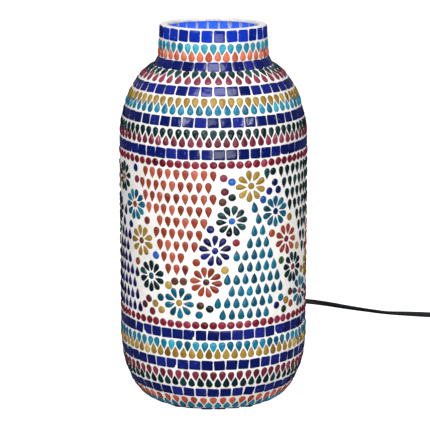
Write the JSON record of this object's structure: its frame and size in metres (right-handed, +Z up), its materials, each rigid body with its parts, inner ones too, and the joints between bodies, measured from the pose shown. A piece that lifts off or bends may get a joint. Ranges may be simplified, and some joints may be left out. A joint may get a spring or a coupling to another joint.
{
  "type": "mosaic glass table lamp",
  "caption": "Jar-shaped glass table lamp skinned with coloured mosaic glass, with a bulb inside, a corded rocker switch and a plug.",
  "frame": {"origin": "centre of the lamp's footprint on the tabletop", "axes": "+Z up along the jar's axis, -Y to the front, +X to the right; the cord leaves towards +Y"},
  "size_m": [0.4082, 0.4265, 0.344],
  "materials": {
    "clear_blue_glass": "clear blown glass with a faint blue tint",
    "white_mortar": "matt white cement grout, slightly sandy",
    "navy_glass": "hand-cut cobalt glass, fire-polished, opaque from outside",
    "turquoise_glass": "pressed turquoise glass, glossy",
    "orange_glass": "pressed orange-red glass, glossy",
    "dark_green_glass": "pressed dark green glass, glossy",
    "maroon_glass": "pressed maroon glass, glossy",
    "gold_glass": "pressed amber-gold glass, glossy",
    "black_rubber": "matt",
    "zinc_steel": "zinc plated",
    "brass": "bright",
    "nickelled_brass": "nickel plated",
    "porcelain": "glazed",
    "black_plastic": "moulded, satin",
    "black_glass": "vitrite",
    "white_plastic": "moulded",
    "opal_plastic": "opal, satin",
    "red_plastic": "moulded",
    "cord_vinyl": "flat twin vinyl cord, satin"
  },
  "bodies": {
    "lamp": {"glass_vessel": "clear_blue_glass", "mortar_bed": "white_mortar", "rubber_feet": "black_rubber", "tile_row_1": "navy_glass", "tile_row_2": "navy_glass", "tile_row_3": "navy_glass", "tile_row_4": "navy_glass", "tile_row_5": "navy_glass", "tile_row_6": "navy_glass", "tile_row_7": "navy_glass", "tile_row_8": "navy_glass", "tile_row_9": "navy_glass", "band_drops_turquoise": "turquoise_glass", "band_drops_orange": "orange_glass", "band_drops_green": "dark_green_glass", "band_drops_maroon": "maroon_glass", "band_drops_gold": "gold_glass", "bead_row_upper": "maroon_glass", "bead_row_lower": "maroon_glass", "field_drops_orange": "orange_glass", "field_drops_green": "dark_green_glass", "field_drops_turquoise": "turquoise_glass", "field_drops_navy": "navy_glass", "petals_gold": "gold_glass", "petals_green": "dark_green_glass", "petals_navy": "navy_glass", "petals_orange": "orange_glass", "petals_turquoise": "turquoise_glass", "flower_beads": "gold_glass", "accent_beads_dark": "navy_glass", "accent_beads_bright": "maroon_glass", "lamp_pipe": "zinc_steel", "pipe_nuts": "zinc_steel", "steel_washers": "zinc_steel", "rubber_washers": "black_rubber", "holder_cap": "black_plastic", "holder_skirt": "black_plastic", "holder_porcelain": "porcelain", "holder_screw_shell": "brass", "holder_contact": "brass", "holder_terminal_screws": "zinc_steel", "cord_saddle": "black_plastic", "cord_inside": "cord_vinyl", "cord_lead": "cord_vinyl", "cord_run": "cord_vinyl", "cord_coil": "cord_vinyl", "cord_tail": "cord_vinyl", "switch_base": "black_plastic", "switch_cover": "black_plastic", "switch_contacts": "brass", "switch_screws": "zinc_steel", "plug_body": "black_plastic", "plug_pins": "nickelled_brass"},
    "bulb": {"bulb_insulator": "black_glass", "bulb_screw_cap": "nickelled_brass", "bulb_housing": "white_plastic", "bulb_diffuser": "opal_plastic"},
    "bulb_centre": {"bulb_tip": "nickelled_brass"},
    "rocker": {"switch_rocker": "red_plastic"}
  },
  "joints": [
    {"name": "bulb_lift", "type": "slide", "parent": "lamp", "child": "bulb_centre", "axis": [0, 0, 1], "range_m": [0, 0.0127]},
    {"name": "bulb_turn", "type": "hinge", "parent": "bulb_centre", "child": "bulb", "pos_m": [0, 0, 0.1], "axis": [0, 0, 1], "range_deg": [0, 1260]},
    {"name": "rocker_tilt", "type": "hinge", "parent": "lamp", "child": "rocker", "pos_m": [0, 0.165, 0.0125], "axis": [1, 0, 0], "range_deg": [0, 20]}
  ],
  "couplings": [
    {"joint": "bulb_turn", "follows": "bulb_lift", "rad_per_m": 1730.9}
  ]
}
